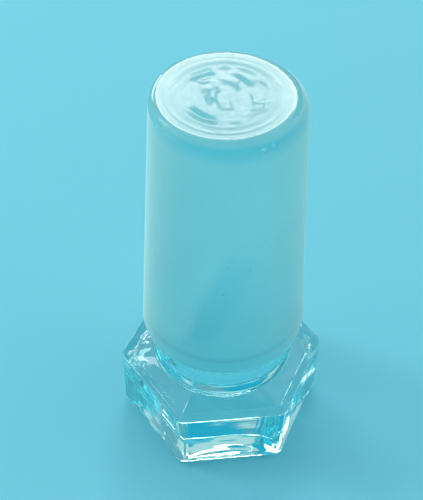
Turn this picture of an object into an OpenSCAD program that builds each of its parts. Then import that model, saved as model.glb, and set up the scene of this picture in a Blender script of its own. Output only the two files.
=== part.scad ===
// Solid pressed glass stopper: a hexagonal head, a hollowed neck and a ground
// shank with a 1 in 10 taper. It stands upside down on the flat outer face of
// its head, with the shank pointing up. Millimetres, +Z up, and the origin is
// the centre of the head's flat face.

/* [Ground shank] */
// Diameter of the ground cone at its wide end
joint_d = 14.5; // [13.5:0.1:16]
// Height of the wide end above the head's flat face
joint_z = 12.65; // [11:0.05:18]
// Length from the wide end to the end face
shank_len = 24.5; // [15:0.5:40]
// Fall in diameter for each millimetre of length
taper = 0.1; // [0.05:0.01:0.13]
// Radius of the rounded edge at the wide end
lip_r = 0.35; // [0.2:0.05:0.6]

/* [End face] */
// Radius of the shoulder around the end face
shoulder_r = 1.3; // [0.8:0.1:1.8]
// Sideways shift of the pressed shank from the ground cone
press_shift = 0.29; // [0.05:0.01:0.5]
// Least depth of glass that grinding took off the pressed shank
grind_depth = 0.05; // [0.02:0.01:0.3]
// Width of the flat ring around the dish
ring_w = 0.7; // [0.4:0.1:1.2]
// Width of the dish's sloping wall
dish_wall = 0.35; // [0.1:0.05:0.6]
// Depth of the dish
dish_depth = 0.22; // [0.15:0.01:0.5]
// Depth of the chill marks below the dish
mark_depth = 0.12; // [0.05:0.01:0.2]

/* [Neck] */
// Radius of the edge where the neck leaves the head
neck_r = 6.5; // [6.1:0.05:6.9]
// Depth of the hollow around the neck
hollow_depth = 0.9; // [0.4:0.05:1.5]
// Width of the mould seam across the neck
seam_w = 0.3; // [0.2:0.05:0.6]
// Height of the mould seam
seam_h = 0.12; // [0.05:0.01:0.3]

/* [Head] */
// Width across the flats
head_af = 16.6; // [15.8:0.1:20]
// Width across the softened corners
head_corners = 18.8; // [17.7:0.1:19.1]
// Height of the outer rim above the flat face
rim_z = 7.15; // [4:0.05:8]
// Width of the ledge inside the rim
ledge_w = 0.9; // [0.3:0.1:1.2]
// Rise of the ledge from the rim inwards
ledge_rise = 0.1; // [0:0.05:0.4]
// Rise of the sloping pad from the ledge to the neck
pad_rise = 1.05; // [0.5:0.05:1.5]
// Flat width between the neck's edge and the pad's edge
pad_margin = 0.05; // [0.02:0.01:0.4]
// Radius of the rounding around the flat face
foot_r = 1; // [0.4:0.1:1.5]

/* [Hidden] */
$fn = 96;
glass = [0.6, 0.84, 0.88];

joint_r = joint_d / 2;
end_z = joint_z + shank_len;
end_r = joint_r - shank_len * taper / 2;
wall_angle = atan(taper / 2);

head_half = head_af / 2;
pad_z = rim_z + ledge_rise + pad_rise;

// The lip is an arc tangent to the ground cone at its wide end
lip_centre = [
    joint_r - lip_r * cos(wall_angle),
    joint_z - lip_r * sin(wall_angle)
];

// The hollow is an arc between the neck's edge and the middle of the lip
hollow_from = [neck_r, pad_z];
hollow_to = lip_centre + lip_r * [cos(45), -sin(45)];
hollow_chord = norm(hollow_to - hollow_from);
hollow_r = (hollow_depth ^ 2 + (hollow_chord / 2) ^ 2) / (2 * hollow_depth);
hollow_out = [
    hollow_to.y - hollow_from.y,
    hollow_from.x - hollow_to.x
] / hollow_chord;
hollow_centre = (hollow_from + hollow_to) / 2
    + hollow_out * (hollow_r - hollow_depth);

// The shank was pressed parallel to the ground cone and outside it
press_grow = press_shift + grind_depth;
shoulder_centre = [
    end_r + press_grow + shoulder_r * taper / 2 - shoulder_r / cos(wall_angle),
    end_z - shoulder_r
];
dish_r = shoulder_centre.x - ring_w;
dish_z = end_z - dish_depth;

// Mould seams lie over this corner of the head and the one opposite
seam_angle = 60;

// Chill marks in the dish: radius, width, first angle and sweep
marks = [
    [0.9, 0.5, 190, 170],
    [1.7, 0.7, 35, 85],
    [2.2, 0.5, 250, 75],
    [2.7, 0.8, 125, 55],
    [3.1, 0.5, 300, 50]
];

// Half of the shank's outline as it left the mould
module pressed_outline() {
    wall_end = shoulder_centre
        + shoulder_r * [cos(wall_angle), sin(wall_angle)];
    foot_z = joint_z - 1;
    polygon([
        [0, foot_z],
        [end_r + press_grow + (end_z - foot_z) * taper / 2, foot_z],
        wall_end,
        shoulder_centre,
        [shoulder_centre.x, end_z],
        [0, end_z]
    ]);
    translate(shoulder_centre)
        circle(shoulder_r);
}

// A shallow groove that runs round the middle of the dish for part of a turn
module chill_mark(radius, width, first, sweep) {
    groove_r = ((width / 2) ^ 2 + mark_depth ^ 2) / (2 * mark_depth);
    rotate([0, 0, first])
        rotate_extrude(angle = sweep)
            translate([radius, groove_r - mark_depth])
                circle(groove_r);
}

module dish() {
    translate([0, 0, dish_z])
        cylinder(r1 = dish_r - dish_wall, r2 = dish_r, h = dish_depth);
    translate([0, 0, dish_z])
        for (m = marks)
            chill_mark(m[0], m[1], m[2], m[3]);
}

module shank() {
    difference() {
        intersection() {
            translate([0, 0, joint_z])
                cylinder(r1 = joint_r, r2 = end_r, h = shank_len);
            translate([-press_shift, 0, 0])
                rotate_extrude()
                    pressed_outline();
        }
        translate([-press_shift, 0, 0])
            dish();
    }
}

// Half of the neck's outline, with the hollow made shallower by fill
module neck_outline(fill) {
    difference() {
        union() {
            polygon([
                [0, rim_z],
                [neck_r - hollow_depth, rim_z],
                [neck_r - hollow_depth, pad_z],
                [lip_centre.x, pad_z],
                [lip_centre.x, joint_z],
                [0, joint_z]
            ]);
            translate(lip_centre)
                circle(lip_r);
        }
        translate(hollow_centre)
            circle(hollow_r - fill);
    }
}

module neck() {
    rotate_extrude()
        neck_outline(0);
}

module seam() {
    intersection() {
        rotate_extrude()
            neck_outline(seam_h);
        rotate([0, 0, seam_angle])
            translate([-joint_r, -seam_w / 2, rim_z])
                cube([joint_d, seam_w, hollow_to.y - rim_z]);
    }
}

// Section through the head from flat to flat
module head_section() {
    ledge = [head_half - ledge_w, rim_z + ledge_rise];
    pad_x = neck_r + pad_margin;
    foot = [head_half - foot_r, foot_r];
    polygon([
        [-foot.x, 0], [foot.x, 0],
        foot, [head_half, foot_r],
        [head_half, rim_z], ledge,
        [pad_x, pad_z], [-pad_x, pad_z],
        [-ledge.x, ledge.y], [-head_half, rim_z],
        [-head_half, foot_r], [-foot.x, foot.y]
    ]);
    for (side = [-1, 1])
        translate([side * foot.x, foot.y])
            circle(foot_r);
}

// Three equal bars crossed at 60 degrees leave a hexagon whose rim, ledge, pad
// and rounded foot are mitred at each corner
module head() {
    intersection() {
        intersection_for (turn = [0, 60, 120])
            rotate([90, 0, 90 + turn])
                linear_extrude(2 * head_corners, center = true)
                    head_section();
        cylinder(d = head_corners, h = pad_z);
    }
}

module stopper() {
    color(glass)
        union() {
            head();
            neck();
            seam();
            shank();
        }
}

stopper();
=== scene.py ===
import math

import bpy
import numpy as np
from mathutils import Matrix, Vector


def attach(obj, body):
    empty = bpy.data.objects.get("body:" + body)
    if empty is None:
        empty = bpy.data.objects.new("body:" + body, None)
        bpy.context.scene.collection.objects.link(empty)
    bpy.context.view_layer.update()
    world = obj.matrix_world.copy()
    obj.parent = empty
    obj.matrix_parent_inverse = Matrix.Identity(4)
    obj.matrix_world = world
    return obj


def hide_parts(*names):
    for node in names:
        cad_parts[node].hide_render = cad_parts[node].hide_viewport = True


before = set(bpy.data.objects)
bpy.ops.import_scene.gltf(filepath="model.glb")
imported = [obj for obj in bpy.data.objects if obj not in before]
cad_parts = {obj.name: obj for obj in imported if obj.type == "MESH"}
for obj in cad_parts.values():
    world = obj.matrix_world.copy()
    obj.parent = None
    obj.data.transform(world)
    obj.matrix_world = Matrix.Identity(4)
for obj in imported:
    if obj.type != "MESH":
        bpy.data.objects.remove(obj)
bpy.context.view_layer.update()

# ---------------------------------------------------------------------------
# Camera: a 50 mm lens about 105 mm from the stopper, looking down on the end
# face and on one flat of the head.
# ---------------------------------------------------------------------------
scene = bpy.context.scene
scene.view_settings.view_transform = "Standard"

facing = math.radians(-6.54)
pitch = math.radians(46.4376)
roll = math.radians(0.9557)


def turned(x, y, z):
    """A point or direction, turned about the stopper's axis to suit the camera."""
    return Vector((
        x * math.cos(facing) - y * math.sin(facing),
        x * math.sin(facing) + y * math.cos(facing),
        z,
    ))


forward = turned(0, math.cos(pitch), -math.sin(pitch))
level = turned(1, 0, 0)
upright = level.cross(forward)
camera_data = bpy.data.cameras.new("camera")
camera_data.sensor_fit = "VERTICAL"
camera_data.sensor_height = 24
camera_data.lens = 50.013
camera_data.clip_start = 0.005
camera = bpy.data.objects.new("camera", camera_data)
scene.collection.objects.link(camera)
scene.camera = camera
matrix = camera.matrix_world.copy()
matrix.col[0][:3] = math.cos(roll) * level + math.sin(roll) * upright
matrix.col[1][:3] = math.cos(roll) * upright - math.sin(roll) * level
matrix.col[2][:3] = -forward
matrix.col[3][:3] = turned(-0.0011157, -0.06155, 0.08509)
camera.matrix_world = matrix

# ---------------------------------------------------------------------------
# Head: the six-sided grip that the stopper stands on, pressed with the rest in
# one mould. Its faces sank and rippled a little as they cooled, its foot is
# softly rounded, and a flat ledge and a slope lead from its rim to the neck.
# The whole stopper is one skin of rings, from the foot up to the end face, and
# all its sizes are in millimetres.
# ---------------------------------------------------------------------------
MM = 0.001
CORNER = math.radians(60)
corner_steps = 60
corner_crowding = 0.7
even = np.arange(corner_steps) / corner_steps
crowded = even - corner_crowding * np.sin(2 * np.pi * even) / (2 * np.pi)
azimuth = np.concatenate([(side + crowded) * CORNER for side in range(6)])
side_of = np.repeat(np.arange(6), corner_steps)
from_middle = np.tile(crowded, 6) * CORNER - CORNER / 2
from_corner = CORNER / 2 - np.abs(from_middle)
east = np.cos(azimuth)
north = np.sin(azimuth)

head_half = 8.3
corner_r = 1.2
rim_z = 7.15
rim_r = 0.16
ledge_w = 0.9
ledge_z = 7.15
ledge_corner_r = 0.5
neck_foot_r = 6.42
neck_foot_z = 8.1
rings = []
frosted = []
rng = np.random.default_rng(7)


def ring(distance, height, frost=0.0):
    """Adds one ring of points, at these distances from the axis and heights."""
    distance = distance + 0 * azimuth
    rings.append(np.stack([distance * east, distance * north, height + 0 * azimuth], axis=1))
    frosted.append(frost + 0 * azimuth)


def hexagon(half, radius):
    """Distance from the axis to a hexagon of this half width with rounded corners."""
    middle = (half - radius) / math.cos(CORNER / 2)
    reach = np.maximum(radius**2 - (middle * np.sin(from_corner)) ** 2, 0)
    rounded = middle * np.cos(from_corner) + np.sqrt(reach)
    flat_end = math.atan((half - radius) * math.tan(CORNER / 2) / half)
    return np.where(np.abs(from_middle) > flat_end, rounded, half / np.cos(from_middle))


def shares(count):
    """Evenly spaced shares of a step, up to and including 1."""
    return (np.arange(count) + 1) / count


def waves(count, shortest, longest):
    """Ripples of random length, lean and phase, one set for each of the six sides."""
    return (
        rng.uniform(shortest, longest, (count, 6)),
        rng.uniform(-0.5, 0.5, (count, 6)),
        rng.uniform(0, 2 * np.pi, (count, 6)),
    )


# Sinks and ripples of each side, from cooling in the mould
sink_depth = np.array([0.05, 0.04, 0.05, 0.05, 0.04, 0.05])[side_of]
sink_from_z = 0.4
sink_tall = 6.7
face_reach = 4.5
level_wave_h = 0.0045
upright_wave_h = 0.004
along = head_half * np.tan(from_middle)
inside_face = np.clip(1 - (along / face_reach) ** 2, 0, 1)
level_waves = list(zip(*waves(4, 0.9, 2.6)))
upright_waves = list(zip(*waves(3, 2.5, 6.0)))


def rippled(height):
    """How far the head's side stands back from its true plane."""
    tall = math.sin(math.pi * min(max((height - sink_from_z) / sink_tall, 0), 1))
    back = sink_depth * inside_face * tall
    for length, lean, phase in level_waves:
        wave = 2 * np.pi * (height + lean[side_of] * along) / length[side_of]
        back = back + level_wave_h * (1 + np.sin(wave + phase[side_of])) * inside_face * tall
    for length, lean, phase in upright_waves:
        wave = 2 * np.pi * (along + lean[side_of] * height) / length[side_of]
        back = back + upright_wave_h * (1 + np.sin(wave + phase[side_of])) * inside_face * tall
    return back


# Fine lines along each side, where the glass dragged as it left the mould, and an upright
# groove by each corner. The side at azimuth 30 has neither.
line_strength = np.array([0.0, 0.3, 0.3, 1.0, 0.2, 0.4])[side_of]
line_end = np.clip((face_reach - np.abs(along)) / 0.4, 0, 1)
groove_deep = 0.05
groove_at = 4.15
groove_w = 0.09
off_groove = (np.abs(along) - groove_at) / groove_w
groove = groove_deep * np.exp(-(off_groove**2)) * (side_of != 0)
lines = list(zip(
    rng.uniform(2.6, 6.9, (9, 6)),
    rng.uniform(-0.02, 0.03, (9, 6)),
    rng.uniform(0.015, 0.045, (9, 6)),
    rng.uniform(0.07, 0.14, (9, 6)),
    rng.uniform(0, 2 * np.pi, (9, 6)),
))


def dragged(height):
    """How deep the fine lines and the grooves cut into the head's side."""
    cut = 0 * azimuth
    for middle_z, lean, deep, width, phase in lines:
        off_line = (height - middle_z[side_of] - lean[side_of] * along) / width[side_of]
        fading = 0.75 + 0.25 * np.sin(1.1 * along + phase[side_of])
        cut = cut + deep[side_of] * fading * np.exp(-off_line**2)
    tall = np.clip((height - 0.8) / 0.8, 0, 1) * np.clip((rim_z - 0.1 - height) / 0.4, 0, 1)
    return cut * line_strength * line_end + groove * tall


# The foot's rounding starts higher up the middle of each side than at the corners. It is
# marbled with small wrinkles, from the cold floor of the mould.
wrinkle_h = 0.006
wrinkle_squeeze = 2.5
wrinkles = []
for _ in range(9):
    lean = rng.uniform(-0.6, 0.6)
    length = rng.uniform(0.7, 1.6)
    phase = rng.uniform(0, 2 * np.pi, 6)[side_of]
    wrinkles.append((lean, length, phase, rng.uniform(0.5, 1)))


def marbled(height, fade):
    """How far the wrinkles stand back at this height of the foot."""
    back = 0 * azimuth
    for lean, length, phase, strength in wrinkles:
        run = along * math.cos(lean) + wrinkle_squeeze * height * math.sin(lean)
        wave = 2 * np.pi * run / length
        back = back + wrinkle_h * length * strength * (1 + np.sin(wave + phase))
    return back * fade


foot_corner_z = 0.95
foot_top = 1.65
foot_in = 0.85 - 0.25 * inside_face
foot_up = foot_corner_z + (foot_top - foot_corner_z) * inside_face
foot_hollow = 0.10
side = hexagon(head_half, corner_r)
for share in (0.04, 0.1, 0.18, 0.28, 0.4, 0.52, 0.64, 0.76, 0.86, 0.94, 1.0):
    ring((side - foot_in) * share, foot_hollow * max(1 - share**2, 0) ** 2)
for share in shares(18):
    turn = share * math.pi / 2
    height = foot_up * (1 - math.cos(turn))
    sunk = rippled(foot_top * (1 - math.cos(turn)))
    wrinkled = marbled(height, math.sin(2 * turn) ** 0.5)
    ring(side - foot_in * (1 - math.sin(turn)) - (sunk + wrinkled), height)
for share in shares(46):
    height = foot_up + (rim_z - rim_r - foot_up) * share
    level_z = foot_top + (rim_z - foot_top) * share
    ring(side - rippled(level_z) - dragged(height), height)
for share in shares(6):
    turn = share * math.pi / 2
    half = head_half - rim_r * (1 - math.cos(turn))
    ring(hexagon(half, corner_r) - rippled(rim_z), rim_z - rim_r * (1 - math.sin(turn)))

# Threads of glass on the ledge and slope: the points each runs through, its height and width
ledge_half = head_half - ledge_w
threads = [
    ([(-8.75, -0.25), (-8.2, 0.05), (-7.7, 0.45), (-7.3, 0.7), (-6.9, 1.2)], 0.070, 0.13),
    ([(-7.5, 1.3), (-7.1, 1.8), (-6.7, 2.4), (-6.2, 3.4)], 0.060, 0.12),
    ([(-5.5, -4.2), (-5.35, -4.9), (-5.07, -5.92), (-4.75, -7.0), (-4.4, -7.75)], 0.085, 0.12),
    ([(-3.3, -5.6), (-3.6, -6.2), (-4.1, -7.1), (-4.4, -7.8)], 0.055, 0.11),
    ([(3.3, -5.7), (3.8, -6.5), (4.3, -7.6)], 0.020, 0.10),
    ([(6.6, 0.4), (7.2, 0.9), (7.9, 0.6), (8.4, 0.1)], 0.050, 0.12),
    ([(4.6, -7.3), (5.8, -5.2), (7.0, -3.1), (8.2, -1.1)], 0.090, 0.075),
    ([(-4.8, -7.4), (-6.0, -5.2), (-7.2, -3.0), (-8.3, -0.8)], 0.090, 0.075),
    ([(-4.1, -7.55), (0.0, -7.5), (4.1, -7.55)], 0.035, 0.080),
]
for _ in range(12):
    angle = rng.uniform(0, 2 * np.pi)
    towards = angle + rng.uniform(-0.9, 0.9)
    start = np.array([math.cos(angle), math.sin(angle)]) * rng.uniform(6.6, 7.3)
    run = np.array([math.cos(towards), math.sin(towards)]) * rng.uniform(0.5, 1.3)
    tall = rng.uniform(0.02, 0.04)
    threads.append(([tuple(start), tuple(start + run)], tall, rng.uniform(0.08, 0.15)))
slope_wave_h = 0.0032
slope_waves = []
for _ in range(10):
    towards = rng.uniform(0, 2 * np.pi)
    length = rng.uniform(0.9, 2.8)
    slope_waves.append((towards, length, rng.uniform(0, 2 * np.pi)))


def run_of(line, x, y):
    """Distance from each point to the nearest part of a line of straight runs."""
    nearest = 0 * x + 9
    for (ax, ay), (bx, by) in zip(line[:-1], line[1:]):
        run = ((x - ax) * (bx - ax) + (y - ay) * (by - ay)) / ((bx - ax) ** 2 + (by - ay) ** 2)
        run = np.clip(run, 0, 1)
        nearest = np.minimum(nearest, np.hypot(x - ax - run * (bx - ax), y - ay - run * (by - ay)))
    return nearest


def uneven(distance, fade):
    """Height of the threads and of the gentle waves at these distances from the axis."""
    x = distance * east
    y = distance * north
    height = 0 * x
    ragged = 0.65 + 0.2 * np.sin(5.1 * x + 3.3 * y) + 0.15 * np.sin(11.7 * x - 8.9 * y)
    for line, tall, width in threads:
        height = height + tall * ragged * np.exp(-((run_of(line, x, y) / width) ** 2))
    for towards, length, phase in slope_waves:
        wave = 2 * np.pi * (x * math.cos(towards) + y * math.sin(towards)) / length
        height = height + slope_wave_h * length * np.sin(wave + phase)
    return height * fade


for share in shares(15):
    half = head_half - rim_r + (ledge_half - head_half + rim_r) * share
    distance = hexagon(half, corner_r + (ledge_corner_r - corner_r) * share)
    ring(distance, rim_z + (ledge_z - rim_z) * share + uneven(distance, min(1, 2 * share)))
slope_shares = (
    0.03, 0.07, 0.12, 0.18, 0.25, 0.32, 0.39, 0.46, 0.53, 0.6, 0.67, 0.74, 0.81, 0.87, 0.92, 0.96
)
for share in slope_shares:
    slope = hexagon(ledge_half, ledge_corner_r) * (1 - share) + neck_foot_r * share
    height = ledge_z + (neck_foot_z - ledge_z) * share
    ring(slope, height + uneven(slope, min(1, 4 * (1 - share))))

# ---------------------------------------------------------------------------
# Neck: a smooth hollow between the head and the shank, as bright as the mould
# left it. The two halves of the mould met in a seam that still stands across
# the neck on two opposite sides, and a ragged bead of glass lies at its foot.
# ---------------------------------------------------------------------------
joint_r = 7.25
joint_z = 12.65
lip_r = 0.35
wall_lean = math.atan(0.05)
waist_in = 0.6
seam_h = 0.15
seam_w = 0.10
bead_h = 0.10
bead_ragged = 0.045
bead_w = 0.03

ragged = 0 * azimuth
for count in (5, 9, 14, 23, 37):
    ragged = ragged + np.sin(count * azimuth + rng.uniform(0, 2 * np.pi)) / count**0.5
bead_side = np.clip(0.35 - np.cos(azimuth - math.radians(10)), 0, 1)
bead = bead_side * (bead_h + bead_ragged * ragged)
lip_middle = np.array([
    joint_r - lip_r * math.cos(wall_lean),
    joint_z - lip_r * math.sin(wall_lean),
])
hollow_from = np.array([neck_foot_r, neck_foot_z])
hollow_to = lip_middle + lip_r * np.array([1, -1]) / math.sqrt(2)
chord = np.linalg.norm(hollow_to - hollow_from)
hollow_r = (waist_in**2 + (chord / 2) ** 2) / (2 * waist_in)
outward = np.array([hollow_to[1] - hollow_from[1], hollow_from[0] - hollow_to[0]]) / chord
hollow_middle = (hollow_from + hollow_to) / 2 + outward * (hollow_r - waist_in)
turn_from = math.atan2(*(hollow_from - hollow_middle)[::-1]) % (2 * math.pi)
turn_to = math.atan2(*(hollow_to - hollow_middle)[::-1]) % (2 * math.pi)
off_seam = neck_foot_r * np.sin(azimuth - CORNER)
seam = seam_h * np.exp(-((off_seam / seam_w) ** 2))
for share in np.concatenate([[0.0, 0.015, 0.03, 0.05, 0.075], 0.075 + 0.925 * shares(29)]):
    turn = turn_from + (turn_to - turn_from) * share
    fade = min(1, 5 * (1 - share))
    out = bead * math.exp(-((share / bead_w) ** 2))
    ring(
        hollow_middle[0] + hollow_r * math.cos(turn) + seam * fade + out,
        hollow_middle[1] + hollow_r * math.sin(turn) + out,
    )
for share in shares(8):
    turn = -math.pi / 4 + (math.pi / 4 + wall_lean) * share
    ring(lip_middle[0] + lip_r * math.cos(turn), lip_middle[1] + lip_r * math.sin(turn))

# ---------------------------------------------------------------------------
# Shank: the tapered plug that seals the neck of the bottle. It was pressed a
# little too big and off centre, then ground to a true 1 in 10 taper, which
# left it frosted. The shoulder around its end keeps the skin of the mould.
# ---------------------------------------------------------------------------
end_z = 37.15
blank_shift = -0.29
ring_edge_r = 5.13
shoulder_power = 0.9
chip_frost = 0.15


def cone(height):
    """Radius of the ground cone at this height."""
    return joint_r - (height - joint_z) * math.tan(wall_lean)


def off_centre(radius):
    """Distance from the axis to a circle around the middle of the end face."""
    return blank_shift * east + np.sqrt(radius**2 - (blank_shift * north) ** 2)


shoulder_drop = 1.15 + 0.2 * east
frost_end = 0.35 + 0.3 * east
shoulder_z = end_z - shoulder_drop
frosted[-1] = 1.0 + 0 * azimuth
for share in shares(12):
    height = joint_z + (shoulder_z - joint_z) * share
    ring(cone(height), height, 1.0)


def shoulder(share):
    """Points on the rounded shoulder, from the cone at 0 to the end face at 1."""
    turn = share * np.pi / 2
    edge = off_centre(ring_edge_r)
    out = np.cos(turn) ** shoulder_power
    up = np.sin(turn) ** shoulder_power
    foot = cone(shoulder_z)
    lean = (foot - cone(end_z)) * up
    return edge + (foot - edge) * out - lean * out, shoulder_z + shoulder_drop * up


# Flakes that came off the edge of the ground cone: azimuth, share of the shoulder, size, depth
flakes = [(287.7, 0.22, 0.20, 0.16), (295.4, 0.28, 0.13, 0.11)]


def flaked(share):
    """How deep the flakes reach at this share of the shoulder."""
    cut = 0 * azimuth
    for where, at_share, size, deep in flakes:
        across = (azimuth - math.radians(where)) * 6.0 / size
        up = (share - at_share) * 2.0 / size
        cut = cut + deep * np.clip(1.2 - across**2 - up**2, 0, 1)
    return cut


# The front of the shoulder is frosted on above the end of the grinding, to carry the painted dark
# band and painted light top of the ground glass's colour
painted_band_frost = np.clip(-0.5 - 1.8 * north, 0, 1)
up_shoulder = [(frost_end * share, 1.0) for share in shares(10)]
up_shoulder += [(frost_end + (1 - frost_end) * share, painted_band_frost) for share in shares(14)[:-1]]
for share, frost in up_shoulder:
    cut = flaked(share)
    distance, height = shoulder(share)
    ring(distance - cut, height - 0.5 * cut, np.where(cut > 0.02, chip_frost, frost))
ring(*shoulder(1 + 0 * azimuth))

# ---------------------------------------------------------------------------
# End face: it set against the cold plunger of the mould, which left a flat
# ring around a shallow dish, and chill folds that swirl about its middle.
# ---------------------------------------------------------------------------
ring_drop = 0.012
dish_r = 4.30
dish_wall = 0.7
dish_depth = 0.045
dish_sag = 0.07
end_frost = 0.37
ring_frost = 0.33
# Folds: where the step starts, its angle and half sweep, its spiral for each degree,
# how wide the step is, how far it rises outwards, and how long it takes to fall back
folds = [
    (2.60, 119, 19, 0.004, 0.50, 0.095, 0.8),
    (1.85, 123, 12, 0.000, 0.40, 0.060, 0.5),
    (2.10, 50, 24, 0.010, 0.62, 0.105, 1.0),
    (0.55, 165, 48, 0.000, 0.30, 0.080, 0.5),
    (1.35, 172, 42, 0.004, 0.18, -0.030, 0.3),
    (2.40, 228, 22, 0.000, 0.65, -0.095, 0.8),
    (3.40, 291, 11, 0.000, 0.35, -0.065, 0.3),
    (3.15, 330, 10, 0.000, 0.40, -0.065, 0.3),
    (1.95, 345, 22, -0.008, 0.15, 0.035, 0.3),
    (1.10, 60, 50, 0.006, 0.15, -0.022, 0.4),
]
fold_height = 0.9
# Creases: the points that each thin line runs through, and its depth
creases = [
    ([(-0.9, -0.5), (-0.68, -0.9), (-0.5, -1.58), (0.4, -1.68), (0.26, -0.74)], 0.032),
    ([(1.3, 1.81), (0.94, 0.79), (0.8, 0.27)], 0.030),
    ([(1.62, -1.95), (2.6, -1.85), (3.44, -2.03)], 0.028),
    ([(2.83, -0.77), (2.6, -1.7), (2.53, -2.74)], 0.027),
    ([(1.9, -1.1), (2.7, -1.35), (3.3, -1.25)], 0.022),
]
crease_w = 0.05
swirl_wave_h = 0.0013
wave_count = 30
wave_angle = rng.uniform(0, 2 * np.pi, wave_count)
wave_length = rng.uniform(0.6, 2.6, wave_count)
wave_phase = rng.uniform(0, 2 * np.pi, wave_count)


def chill(x, y):
    """Height of the chill folds above the floor of the dish."""
    distance = np.hypot(x, y)
    angle = np.arctan2(y, x)
    height = 0 * x
    for start, middle, sweep, spiral, width, rise, tail in folds:
        turn = np.degrees((angle - math.radians(middle) + np.pi) % (2 * np.pi) - np.pi)
        across = (distance - start - spiral * turn) / width
        step = np.clip(across, 0, 1)
        step = step * step * (3 - 2 * step)
        fall = np.exp(-((np.clip(across - 1, 0, None) * width / tail) ** 2))
        height = height + rise * step * fall * np.exp(-((turn / sweep) ** 4))
    for line, deep in creases:
        height = height - deep * np.exp(-((run_of(line, x, y) / crease_w) ** 2))
    swirl = angle + 1.3 * np.exp(-distance / 1.6)
    wx = distance * np.cos(swirl)
    wy = distance * np.sin(swirl)
    for towards, length, phase in zip(wave_angle, wave_length, wave_phase):
        wave = 2 * np.pi * (wx * math.cos(towards) + wy * math.sin(towards)) / length
        height = height + swirl_wave_h * length * np.sin(wave + phase)
    height = fold_height * height - dish_sag * (1 - (distance / dish_r) ** 2)
    # No fold stands above the ring, and all of them fade out at the dish's wall
    return np.minimum(height, dish_depth) * np.clip((dish_r - dish_wall - distance) / 0.5, 0, 1)


def ring_ridges(share):
    """Height of the soft ridges that run around the ring."""
    return ring_drop * (share - 1 - (1 + math.cos(4 * math.pi * share)) / 2)


for share in (0.12, 0.24, 0.36, 0.48, 0.6, 0.72, 0.84, 1.0):
    radius = ring_edge_r + (dish_r - ring_edge_r) * share
    ring(off_centre(radius), end_z + ring_ridges(share), ring_frost)
for share in shares(7):
    drop = ring_drop + dish_depth * (3 * share**2 - 2 * share**3)
    ring(off_centre(dish_r - dish_wall * share), end_z - drop, end_frost)
dish_floor_z = end_z - ring_drop - dish_depth
for share in shares(54)[:-1]:
    radius = (dish_r - dish_wall) * (1 - share)
    x = radius * east
    y = radius * north
    rings.append(np.stack([x + blank_shift, y, dish_floor_z + chill(x, y)], axis=1))
    frosted.append(end_frost + 0 * azimuth)
middle = [[blank_shift, 0, dish_floor_z + float(chill(np.zeros(1), np.zeros(1))[0])]]

# ---------------------------------------------------------------------------
# The glass itself: one closed skin over all the rings above, clear wherever
# the mould left it and frosted wherever it was ground, and frosted as well on
# the front of the shoulder, to carry painted shade and light there.
# ---------------------------------------------------------------------------
around = len(azimuth)
points = np.concatenate([[[0, 0, foot_hollow]]] + rings + [middle]) * MM
after = (np.arange(around) + 1) % around
faces = [(0, 1 + int(after[j]), 1 + j) for j in range(around)]
for row in range(len(rings) - 1):
    low = 1 + row * around
    high = low + around
    faces += [(low + j, low + int(after[j]), high + int(after[j]), high + j) for j in range(around)]
last = 1 + (len(rings) - 1) * around
faces += [(last + j, last + int(after[j]), last + around) for j in range(around)]
mesh = bpy.data.meshes.new("stopper_glass")
mesh.from_pydata(points.tolist(), [], faces)
mesh.shade_smooth()
frost = mesh.attributes.new("frost", "FLOAT", "POINT")
frost.data.foreach_set(
    "value", np.concatenate([[0]] + frosted + [[end_frost]]).astype(np.float32)
)
stopper = bpy.data.objects.new("stopper_glass", mesh)
scene.collection.objects.link(stopper)

glass = bpy.data.materials.new("pressed_and_ground_glass")
glass.use_nodes = True
nodes = glass.node_tree.nodes
links = glass.node_tree.links


def maths(operation, first, second, third=None):
    """A node that works out one number from two or three numbers or outputs of nodes."""
    node = nodes.new("ShaderNodeMath")
    node.operation = operation
    for socket, value in zip(node.inputs, (first, second, third)):
        if isinstance(value, (int, float)):
            socket.default_value = value
        elif value is not None:
            links.new(value, socket)
    return node.outputs[0]


def noise(scale, detail, place):
    """A node that gives soft random noise of this scale at each place."""
    node = nodes.new("ShaderNodeTexNoise")
    node.inputs["Scale"].default_value = scale
    node.inputs["Detail"].default_value = detail
    links.new(place, node.inputs["Vector"])
    return node.outputs["Fac"]


def reach(direction, place):
    """A node that gives how far each place lies along a direction."""
    node = nodes.new("ShaderNodeVectorMath")
    node.operation = "DOT_PRODUCT"
    node.inputs[1].default_value = direction
    links.new(place, node.inputs[0])
    return node.outputs["Value"]


def grey(lightness):
    """A colour without any hue."""
    return (lightness, lightness, lightness)


def ramp(value, stops):
    """A node that turns a number into a colour, by stops of a place and a colour."""
    node = nodes.new("ShaderNodeValToRGB")
    node.color_ramp.interpolation = "EASE"
    while len(node.color_ramp.elements) < len(stops):
        node.color_ramp.elements.new(1)
    for element, (at, colour) in zip(node.color_ramp.elements, stops):
        element.position = at
        element.color = (*colour, 1)
    links.new(value, node.inputs[0])
    return node.outputs[0]


def blend(share, first, second):
    """A node that mixes two colours by a share."""
    node = nodes.new("ShaderNodeMix")
    node.data_type = "RGBA"
    sockets = (node.inputs[0], node.inputs[6], node.inputs[7])
    for socket, value in zip(sockets, (share, first, second)):
        if isinstance(value, tuple):
            socket.default_value = (*value, 1)
        else:
            links.new(value, socket)
    return node.outputs[2]


def mixed(share, first, second):
    """A node that mixes two shaders by a share."""
    node = nodes.new("ShaderNodeMixShader")
    links.new(share, node.inputs["Fac"])
    links.new(first.outputs[0], node.inputs[1])
    links.new(second.outputs[0], node.inputs[2])
    return node


# Where the glass is ground, and how high each point lies, in millimetres
frost_node = nodes.new("ShaderNodeAttribute")
frost_node.attribute_name = "frost"
ground = frost_node.outputs["Fac"]
place = nodes.new("ShaderNodeTexCoord").outputs["Object"]
height_mm = reach((0, 0, 1000), place)

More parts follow.
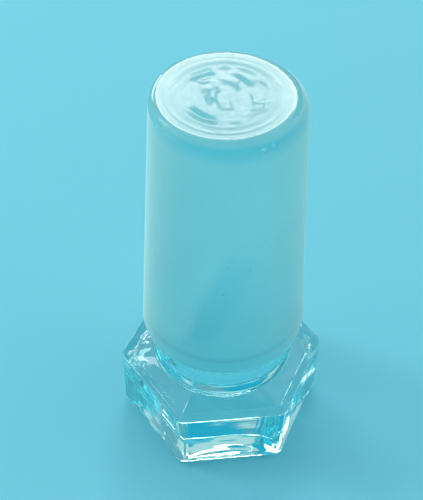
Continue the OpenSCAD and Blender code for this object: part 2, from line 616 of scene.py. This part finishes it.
# Grain left by the grinding, with faint lines around the cone, and a few small pits
grain = noise(5200, 4, place)
squeezed = nodes.new("ShaderNodeMapping")
squeezed.inputs["Scale"].default_value = (500, 500, 7000)
links.new(place, squeezed.inputs["Vector"])
turning = noise(1, 3, squeezed.outputs[0])
cloud = noise(260, 2, place)
texture = maths("ADD", maths("MULTIPLY", grain, 0.7), maths("MULTIPLY", turning, 0.3))
unevenness = maths("SUBTRACT", texture, 0.5)
cells = nodes.new("ShaderNodeTexVoronoi")
cells.inputs["Scale"].default_value = 900
links.new(place, cells.inputs["Vector"])
pit_depth = maths("SUBTRACT", 1, maths("DIVIDE", cells.outputs["Distance"], 0.13))
pit = maths("MULTIPLY", maths("MAXIMUM", pit_depth, 0), maths("GREATER_THAN", cloud, 0.57))

# A painted highlight along a soft slanting streak on the ground glass, with a painted shade beside
# it
across_mm = maths("SUBTRACT", reach((-893, 339, 296), place), 6.60)
streak_side = ramp(
    maths("MULTIPLY_ADD", across_mm, 0.2, 0.2),
    [(0.02, grey(0)), (0.36, grey(1)), (0.52, grey(0.6)), (0.9, grey(0))],
)
streak_tall = ramp(
    maths("MULTIPLY_ADD", height_mm, 0.05, -0.6),
    [(0.1, grey(0)), (0.25, grey(1)), (0.55, grey(0.7)), (0.8, grey(0))],
)
streak_front = ramp(
    maths("MULTIPLY", reach((-340, -940, 0), place), 0.1),
    [(0.3, grey(0)), (0.55, grey(1))],
)
shade_side = ramp(
    maths("MULTIPLY_ADD", across_mm, 0.2, 0.8),
    [(0.1, grey(0)), (0.4, grey(1)), (0.62, grey(1)), (0.80, grey(0))],
)
streak_place = maths("MULTIPLY", streak_tall, streak_front)
painted_highlight = maths("MULTIPLY", streak_side, streak_place)
shade = maths("MULTIPLY", shade_side, streak_place)

# A green blue painted on the ground glass, in place of what real frosted glass takes up from the
# cloth around it. Just above the lip, where the grinding ran out, it is painted deeper for the
# light that comes through the lip, with a painted dark line over it; below the end it is a
# painted dark band under a painted light top, which also pales the end face.
tint = ramp(maths("MULTIPLY_ADD", height_mm, 1 / 26, -12 / 26), [
    (0.025, (0.38, 0.82, 0.91)),
    (0.065, (0.38, 0.81, 0.88)),
    (0.081, (0.32, 0.68, 0.74)),
    (0.105, (0.53, 0.85, 0.89)),
    (0.20, (0.66, 0.90, 0.92)),
    (0.895, (0.66, 0.89, 0.90)),
    (0.935, (0.36, 0.81, 0.89)),
    (0.948, (0.30, 0.80, 0.90)),
    (0.962, (0.90, 1.00, 1.00)),
])
# The painted highlight of the streak, and the painted shade beside it
tint = blend(painted_highlight, tint, (0.95, 1.00, 0.98))
tint = blend(maths("MULTIPLY", shade, 0.7), tint, (0.40, 0.80, 0.88))
tint = blend(maths("MULTIPLY", pit, 0.5), tint, (0.15, 0.30, 0.32))

shader = nodes["Principled BSDF"]
shader.inputs["IOR"].default_value = 1.5
shader.inputs["Transmission Weight"].default_value = 1
links.new(blend(maths("POWER", ground, 1.6), grey(1), tint), shader.inputs["Base Color"])
roughness = maths("MULTIPLY", ground, maths("MULTIPLY_ADD", unevenness, 0.5, 0.6))
links.new(roughness, shader.inputs["Roughness"])
bump = nodes.new("ShaderNodeBump")
bump.inputs["Strength"].default_value = 0.35
bump.inputs["Distance"].default_value = 0.00002
links.new(maths("MULTIPLY", texture, ground), bump.inputs["Height"])
links.new(bump.outputs[0], shader.inputs["Normal"])

# Light that the ground skin scatters through, and the pale bloom on it seen edge on
haze = nodes.new("ShaderNodeBsdfTranslucent")
links.new(tint, haze.inputs["Color"])
haze_share = maths("MULTIPLY", ground, maths("MULTIPLY_ADD", unevenness, 0.5, 0.3))
bloom = nodes.new("ShaderNodeBsdfDiffuse")
bloom.inputs["Color"].default_value = (0.72, 1.0, 0.93, 1)
edge_on = nodes.new("ShaderNodeLayerWeight")
edge_on.inputs["Blend"].default_value = 0.5
bloom_share = maths("MULTIPLY_ADD", maths("POWER", edge_on.outputs["Facing"], 1.8), 0.80, 0.03)
bloom_share = maths("ADD", bloom_share, maths("MULTIPLY", unevenness, 0.12))
bloom_share = maths("MULTIPLY", maths("MAXIMUM", bloom_share, 0), ground)
skin = mixed(bloom_share, mixed(haze_share, shader, haze), bloom)
links.new(skin.outputs[0], nodes["Material Output"].inputs["Surface"])

# The same stand-in for the clear glass: 15 mm of it takes out nearly half of the red
depth = nodes.new("ShaderNodeVolumeAbsorption")
depth.inputs["Color"].default_value = (0.0, 0.85, 0.91, 1)
depth.inputs["Density"].default_value = 40
links.new(depth.outputs[0], nodes["Material Output"].inputs["Volume"])
mesh.materials.append(glass)
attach(stopper, "root")
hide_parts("stopper")

# ---------------------------------------------------------------------------
# Floor: a plain light blue cloth, just under the stopper's foot. Rays that have
# come through the glass see it partly lit by itself, so the stopper's own
# shadow doesn't darken what shows through it.
# ---------------------------------------------------------------------------
floor_half = 2.0
floor_z = -5e-5
floor_colour = (0.17, 0.60, 0.73, 1)
floor_corners = [
    (-floor_half, -floor_half, floor_z),
    (floor_half, -floor_half, floor_z),
    (floor_half, floor_half, floor_z),
    (-floor_half, floor_half, floor_z),
]
floor_mesh = bpy.data.meshes.new("floor")
floor_mesh.from_pydata(floor_corners, [], [(0, 1, 2, 3)])
floor = bpy.data.objects.new("floor", floor_mesh)
scene.collection.objects.link(floor)
cloth = bpy.data.materials.new("floor_cloth")
cloth.use_nodes = True
nodes = cloth.node_tree.nodes
links = cloth.node_tree.links
shader = nodes["Principled BSDF"]
shader.inputs["Base Color"].default_value = floor_colour
shader.inputs["Roughness"].default_value = 1
through = nodes.new("ShaderNodeEmission")
through.inputs["Color"].default_value = floor_colour
through.inputs["Strength"].default_value = 1.0
path = nodes.new("ShaderNodeLightPath")
lit_share = maths("MULTIPLY", path.outputs["Is Transmission Ray"], 0.45)
surface = mixed(lit_share, shader, through)
links.new(surface.outputs[0], nodes["Material Output"].inputs["Surface"])
floor_mesh.materials.append(cloth)

# ---------------------------------------------------------------------------
# Light: a soft sky with pale patches above, at the sides and behind the
# stopper, two blue ones in front of those behind it, dark ones behind the
# camera, and three softboxes.
# ---------------------------------------------------------------------------
world = bpy.data.worlds.new("world")
scene.world = world
world.use_nodes = True
nodes = world.node_tree.nodes
links = world.node_tree.links
sky_place = nodes.new("ShaderNodeTexCoord").outputs["Generated"]


def seen(azimuth_deg, elevation_deg):
    """The direction of this azimuth and height, as the camera sees the stopper."""
    swing = math.radians(azimuth_deg)
    lift = math.radians(elevation_deg)
    return turned(
        math.sin(swing) * math.cos(lift), math.cos(swing) * math.cos(lift), math.sin(lift)
    )


def patch(under, centre, colour, inner, outer):
    """Mixes a soft round patch, with an inner and an outer radius in degrees, over a colour."""
    fade = nodes.new("ShaderNodeMapRange")
    fade.interpolation_type = "SMOOTHSTEP"
    fade.inputs["From Min"].default_value = math.cos(math.radians(outer))
    fade.inputs["From Max"].default_value = math.cos(math.radians(inner))
    links.new(reach(centre, sky_place), fade.inputs["Value"])
    return blend(fade.outputs[0], under, colour)


sky = (0.26, 0.44, 0.50)
sky = patch(sky, seen(150, 0), (0.05, 0.14, 0.18), 30, 60)
sky = patch(sky, seen(178, 48), (0.08, 0.22, 0.28), 16, 34)
sky = patch(sky, seen(-10, 84), grey(1.2), 13, 22)
sky = patch(sky, seen(-75, 40), grey(0.80), 30, 44)
sky = patch(sky, seen(-56, 14), grey(0.9), 18, 28)
sky = patch(sky, seen(90, 45), grey(1.0), 20, 36)
sky = patch(sky, seen(66, 14), grey(1.0), 18, 28)
sky = patch(sky, seen(-2, 32), (0.82, 0.82, 0.80), 18, 27)
sky = patch(sky, seen(-17, 59), (0.02, 0.44, 0.62), 11, 15)
sky = patch(sky, seen(-17, 18), (0.02, 0.44, 0.62), 9, 13)
links.new(sky, nodes["Background"].inputs["Color"])
nodes["Background"].inputs["Strength"].default_value = 1.0

lamp_aim = Vector((0, 0, 0.02))
lamp_distance = 0.7
lamp_power = 4


def softbox(name, towards, width, tall, brightness, colour=(1, 1, 1)):
    """A lamp that faces the stopper, as bright to look at as brightness times white."""
    lamp = bpy.data.lights.new(name, "AREA")
    lamp.shape = "RECTANGLE"
    lamp.size = width
    lamp.size_y = tall
    lamp.energy = lamp_power * width * tall * brightness
    lamp.color = colour
    holder = bpy.data.objects.new(name, lamp)
    scene.collection.objects.link(holder)
    holder.location = lamp_aim + lamp_distance * towards
    holder.rotation_euler = (lamp_aim - holder.location).to_track_quat("-Z", "Y").to_euler()


softbox("softbox_behind", seen(4, 39), 0.28, 0.14, 7.6, (1.0, 0.87, 0.81))
softbox("window_left", seen(-30, 17), 0.26, 0.23, 6.2)
softbox("strip_left", seen(-77, 36), 0.15, 0.46, 4.0)

# Light crosses the clear glass many times before it leaves
scene.cycles.use_denoising = True
scene.cycles.max_bounces = 32
scene.cycles.transmission_bounces = 32
scene.cycles.glossy_bounces = 32
scene.cycles.diffuse_bounces = 8
